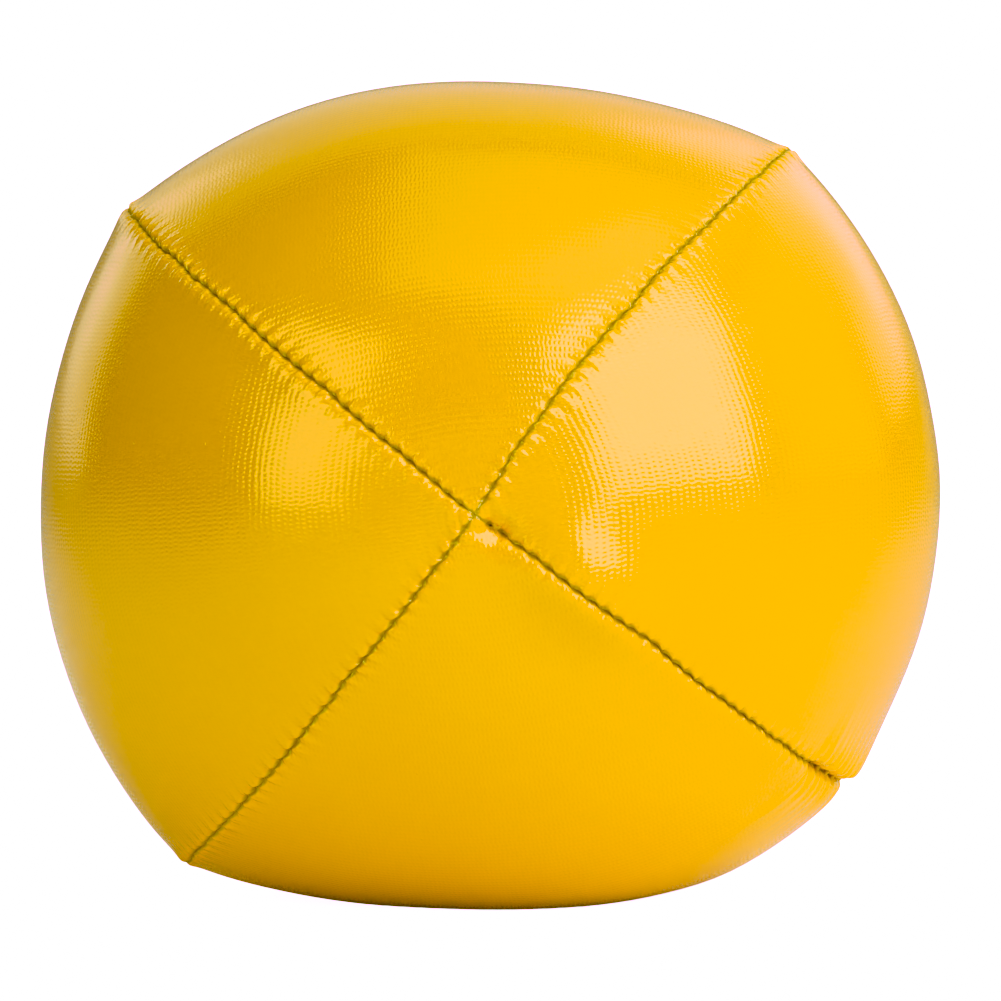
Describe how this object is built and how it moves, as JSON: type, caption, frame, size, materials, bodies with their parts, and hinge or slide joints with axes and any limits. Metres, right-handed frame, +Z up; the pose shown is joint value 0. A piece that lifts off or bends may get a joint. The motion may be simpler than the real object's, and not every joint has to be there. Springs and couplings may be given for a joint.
{
  "type": "juggling ball",
  "caption": "Beanbag juggling ball sewn from curved panels of glossy coated cloth that meet at both ends, filled with loose grain and closed by hand. It rests on a soft flat patch.",
  "frame": {"origin": "on the surface that the ball rests on, under the middle of its box", "axes": "+Z up, +X to the right across the four panels, -Y to the front end, where the seams meet"},
  "size_m": [0.07, 0.0668, 0.0636],
  "materials": {
    "skin": "glossy coating on fine knit cloth, with the knit's ribs showing through the gloss",
    "thread": "fine spun polyester sewing thread",
    "hand_thread": "doubled spun polyester sewing thread",
    "grain": "loose dry grain"
  },
  "bodies": {
    "root": {"panel_top": "skin", "panel_left": "skin", "panel_bottom": "skin", "panel_right": "skin", "needle_thread_upper_half": "thread", "bobbin_thread_upper_half": "thread", "needle_thread_lower_half": "thread", "bobbin_thread_lower_half": "thread", "needle_thread_joining": "thread", "bobbin_thread_joining": "thread", "closing_thread": "hand_thread", "filling": "grain"}
  },
  "joints": []
}
